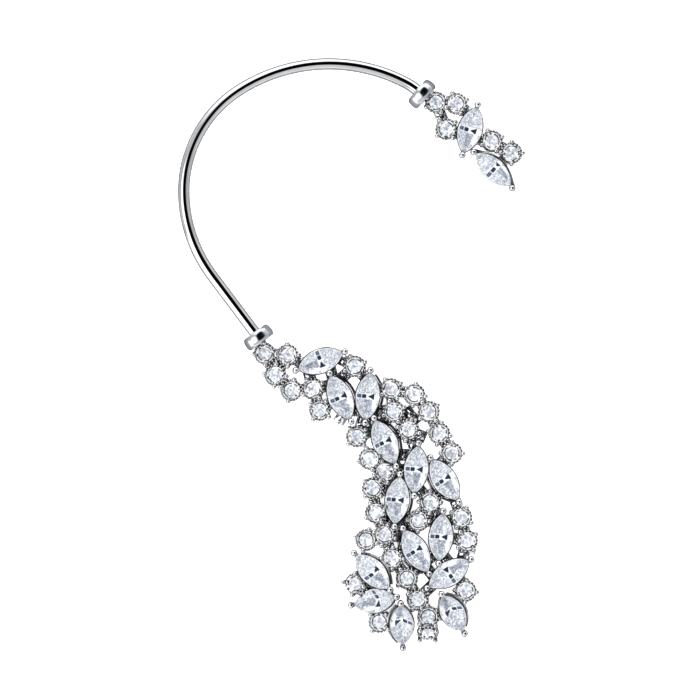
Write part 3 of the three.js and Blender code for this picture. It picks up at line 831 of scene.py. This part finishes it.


# The stones are cubic zirconia, cut and polished, clear with a cool cast. Under the clear crown, the facets
# of the pointed underside carry painted reflections: white, grey-blue and dark flashes painted on as colours,
# in place of the light that would come back off them.
def stone_materials():
    """Two finishes of one stone: the clear crown, which mirrors a share of the tent and lets the rest of the
    light through, and the underside as the eye sees it through the crown, whose facets carry painted
    reflections, a colour for each of their points, in place of the light that each would throw back."""
    crown = bpy.data.materials.new("clear_zirconia_crown")
    crown.use_nodes = True
    tree = crown.node_tree
    mirror = tree.nodes["Principled BSDF"]
    mirror.inputs["Base Color"].default_value = linear("ffffff")
    mirror.inputs["Metallic"].default_value = 1.0
    mirror.inputs["Roughness"].default_value = 0.02
    clear = add_node(tree, "ShaderNodeBsdfTransparent")
    share = add_node(tree, "ShaderNodeFresnel", {"IOR": crown_ior})
    mix_links = {0: share.outputs[0], 1: clear.outputs[0], 2: mirror.outputs[0]}
    both = add_node(tree, "ShaderNodeMixShader", {}, mix_links)
    tree.links.new(both.outputs[0], tree.nodes["Material Output"].inputs["Surface"])
    back = bpy.data.materials.new("zirconia_back_facets")
    back.use_nodes = True
    tree = back.node_tree
    surface = tree.nodes["Principled BSDF"]
    surface.inputs["Roughness"].default_value = 0.35
    surface.inputs["Specular IOR Level"].default_value = 0.1
    # The underside's colour is a painted reflection, read from a point attribute.
    painted_reflection = add_node(tree, "ShaderNodeAttribute", attribute_name="painted_reflection", attribute_type="GEOMETRY")
    tree.links.new(painted_reflection.outputs["Color"], surface.inputs["Base Color"])
    return crown, back


def split_quads(faces):
    """Quads as two triangles each."""
    return np.concatenate([faces[:, [0, 1, 2]], faces[:, [0, 2, 3]]])


def fan(rim, ring):
    """Triangles from a rim of points to a ring of half as many, that lie between every second pair:
    two under each ring point and one between it and the next."""
    place = np.arange(len(ring))
    rim_count = len(rim)
    on_ring = rim_count + place
    next_on_ring = rim_count + (place + 1) % len(ring)
    faces = np.concatenate(
        [
            np.stack([2 * place, 2 * place + 1, on_ring], axis=-1),
            np.stack([2 * place + 1, (2 * place + 2) % rim_count, on_ring], axis=-1),
            np.stack([(2 * place + 2) % rim_count, next_on_ring, on_ring], axis=-1),
        ]
    )
    return np.concatenate([rim, ring]), faces


def zigzag(ring, inner):
    """Triangles between a ring and an inner ring of as many points, each set back half a step."""
    count = len(ring)
    place = np.arange(count)
    following = (place + 1) % count
    faces = np.concatenate(
        [
            np.stack([place, following, count + following], axis=-1),
            np.stack([place, count + following, count + place], axis=-1),
        ]
    )
    return np.concatenate([ring, inner]), faces


def table_fan(ring):
    """Triangles from a ring to its middle."""
    count = len(ring)
    place = np.arange(count)
    faces = np.stack([place, (place + 1) % count, np.full(count, count)], axis=-1)
    return np.concatenate([ring, ring.mean(axis=0)[None]]), faces


def crown_form(cut, sides):
    """A stone's upper half in millimetres: a thin girdle, a belt of small facets, a belt of larger
    ones turned half a step, and the flat table."""
    angle = 2 * np.pi * np.arange(sides) / sides
    top = crown_height_share * cut["width"]

    def ring(share, level, at):
        flat = share * cut["outline"](at, cut["length"], cut["width"])
        return np.concatenate([flat, np.full((len(flat), 1), level)], axis=-1)

    rim_low = ring(1.0, -half_girdle, angle)
    rim = ring(1.0, half_girdle, angle)
    belt = ring(0.8, half_girdle + (top - half_girdle) * 0.55, angle[1::2])
    table = ring(0.56, top, angle[0::2])
    edge_points, edge_quads = skin(np.stack([rim_low, rim]))
    edge = (edge_points, split_quads(edge_quads))
    return gathered([edge, fan(rim, belt), zigzag(belt, table), table_fan(table)])


def marquise_back(columns, rows, draw):
    """A marquise's underside: lines across it, each in even steps, that dip to a keel. The depth falls
    off in a straight line to both edges and as a curve to both points. Inner points are set a little
    off their places, as the facets of a real cut are."""
    arc_share = np.linspace(0, 1, columns)
    edge = marquise_outline(np.pi * arc_share, marquise_cut["length"], marquise_cut["width"])
    across_share = np.linspace(1, -1, rows)
    points = np.empty((columns, rows, 3))
    points[..., 0] = edge[:, 0, None]
    points[..., 1] = edge[:, 1, None] * across_share
    bow = 1 - (2 * arc_share - 1) ** 2
    depth = back_depth_share * marquise_cut["width"]
    points[..., 2] = -half_girdle - (depth - half_girdle) * (1 - abs(across_share)) * bow[:, None]
    inner = (abs(across_share) < 0.99) * (bow[:, None] > 0.05)
    points[..., 2] += draw.uniform(-0.012, 0.012, points.shape[:2]) * inner
    points, faces = skin(points, closed=False)
    return points, split_quads(faces)


def round_back(sides, shares, draw):
    """A round stone's underside: rings that dip in a straight line to the point, set a little off."""
    angle = 2 * np.pi * np.arange(sides) / sides
    width = round_cut["width"]
    points = np.empty((len(shares), sides, 3))
    points[..., :2] = shares[:, None, None] * round_outline(angle, width, width)
    depth = back_depth_share * width
    points[..., 2] = (-half_girdle - (depth - half_girdle) * (1 - shares))[:, None]
    inner = (shares < 0.99) * (shares > 0.01)
    points[..., 2] += draw.uniform(-0.01, 0.01, points.shape[:2]) * inner[:, None]
    points, faces = skin(points)
    return points, split_quads(faces)


def mixed(first, second, share):
    """Two colours mixed by a share for each point."""
    return first + (second - first) * np.clip(np.asarray(share, float), 0, 1)[:, None]


def cell_draws(spots, size, draw):
    """A number from nought to one for each spot, the same for all the spots of one slanting cell."""
    slanted = np.stack([spots[:, 0] + 0.6 * spots[:, 1], spots[:, 1] - 0.45 * spots[:, 0]], axis=-1) / size
    cell = np.floor(slanted + draw.random(2)).astype(int) % 64
    return draw.random((64, 64))[cell[:, 0], cell[:, 1]]


def painted_facet_colour(hex_colour):
    """A facet's painted reflection colour, as its three linear values."""
    return np.array(linear(hex_colour)[:3])


def marquise_painted_reflections(spots, draw):
    """A painted reflection colour for each point from its place in millimetres: cool mottling, a white waist
    and edge, a painted white glare, a grey-blue patch in the first half, and two square dark marks and a
    triangular one across the waist, all painted reflections of the facets."""
    along_stone, across_stone = spots[:, 0], spots[:, 1]
    half_width = 1.5 * np.clip(1 - (along_stone / 3) ** 2, 0.02, 1)
    edge_share = abs(across_stone) / half_width
    white, grey, dark_reflection = painted_facet_colour("f4f5f7"), painted_facet_colour("80858e"), painted_facet_colour("565e6e")
    coarse, fine, third = (cell_draws(spots, size, draw) for size in (0.26, 0.14, 0.22))
    colours = mixed(np.tile(painted_facet_colour("b0b3b9"), (len(spots), 1)), grey, coarse * 0.9)
    colours = mixed(colours, white, (fine > 0.72) * 0.5)
    colours = mixed(colours, dark_reflection, (fine < 0.14) * 0.5)
    patch_width = 0.5 - 0.16 * (along_stone - 0.4)
    patch = (along_stone > 0.4) & (along_stone < 2.0) & (abs(across_stone - 0.12) < patch_width)
    colours = mixed(colours, dark_reflection, patch * (0.25 + 0.55 * third))
    # A painted white glare.
    glare = ((along_stone - 1.0) / 0.9) ** 2 + ((across_stone - 0.92) / 0.26) ** 2
    colours = mixed(colours, white, (glare < 1) * 0.5)
    colours = mixed(colours, white, (edge_share > 0.9) * 0.4)
    colours = mixed(colours, white, (abs(along_stone) < 0.33) * 0.6)
    # Painted dark reflections: two squares and a triangle across the waist.
    for dark_reflection_place, dark_reflection_colour in ((-1.05, "465064"), (-0.45, "1e2536")):
        square = (along_stone / 0.27) ** 4 + ((across_stone - dark_reflection_place) / 0.28) ** 4 < 1
        colours = mixed(colours, painted_facet_colour(dark_reflection_colour), square)
    from_tip = across_stone - 0.06
    triangle = (from_tip > 0) & (from_tip < 0.78) & (abs(along_stone + 0.02) < 0.05 + 0.48 * from_tip)
    return mixed(colours, painted_facet_colour("1a2132"), triangle)


def round_painted_reflections(spots, draw):
    """A painted reflection colour for each point: pale inside, with grey cells, then a broken dark ring of
    short dashes between reaches of 0.83 and 0.95 mm, and a light edge with some dark cells, all painted
    reflections of the facets."""
    reach = np.hypot(spots[:, 0], spots[:, 1])
    turn = np.arctan2(spots[:, 1], spots[:, 0]) / (2 * np.pi) % 1
    inside, outside = (cell_draws(spots, size, draw) for size in (0.26, 0.17))
    pale = np.tile(painted_facet_colour("cacdd3"), (len(spots), 1))
    colours = mixed(pale, painted_facet_colour("6a6e76"), (inside > 0.45) * 0.8 * inside)
    outer = reach > 0.83
    edge_colours = np.where(outside > 0.25, 0.68, 0.05)[:, None] * np.ones(3)
    colours = mixed(colours, edge_colours, outer)
    dashes = draw.random(18)[(turn * 18).astype(int) % 18]
    return mixed(colours, painted_facet_colour("121418"), outer & (reach < 0.95) & (dashes < 0.6))


def stone_piece(node, crown, back, painted_reflections, place, draw):
    """One cut stone: its crown and its underside, welded at the girdle and set in its place."""
    points, faces = gathered([crown, back])
    is_back = np.arange(len(faces)) >= len(crown[1])
    mesh = bpy.data.meshes.new(node + "_cut")
    mesh.from_pydata(points.tolist(), [], faces.tolist())
    # Each point of the stone gets its painted reflection colour.
    attribute = mesh.color_attributes.new("painted_reflection", "FLOAT_COLOR", "POINT")
    point_colours = np.ones((len(points), 4))
    point_colours[:, :3] = painted_reflections(points, draw)
    attribute.data.foreach_set("color", point_colours.ravel())
    for material in stone_finishes:
        mesh.materials.append(material)
    mesh.polygons.foreach_set("material_index", is_back.astype(int))
    tidy_mesh(mesh, 1e-4)
    middle, axes = place
    placed = np.empty(len(mesh.vertices) * 3)
    mesh.vertices.foreach_get("co", placed)
    placed = middle + placed.reshape(-1, 3) * mm @ axes
    mesh.vertices.foreach_set("co", placed.ravel())
    mesh.update()
    return place_piece(node + "_cut", mesh, [node])


# Cubic zirconia's own index is 2.15. On a stone this small the crown's glare would hide the painted
# reflections under it, so the share that it mirrors is matched to the photograph by a lower one.
crown_ior = 1.22
crown_height_share = 0.16
half_girdle = 0.05
stone_finishes = stone_materials()
draw = np.random.default_rng(54)
marquise_crown = crown_form(marquise_cut, sides=48)
round_crown = crown_form(round_cut, sides=32)
ring_shares = np.linspace(1, 0, 25)
for cluster in ("lower", "upper"):
    for name, *place in zip(marquise_names[cluster], *marquise_places[cluster]):
        back = marquise_back(columns=97, rows=49, draw=draw)
        stone_piece(name, marquise_crown, back, marquise_painted_reflections, place, draw)
    for name, *place in zip(round_names[cluster], *round_places[cluster]):
        back = round_back(sides=96, shares=ring_shares, draw=draw)
        stone_piece(name, round_crown, back, round_painted_reflections, place, draw)
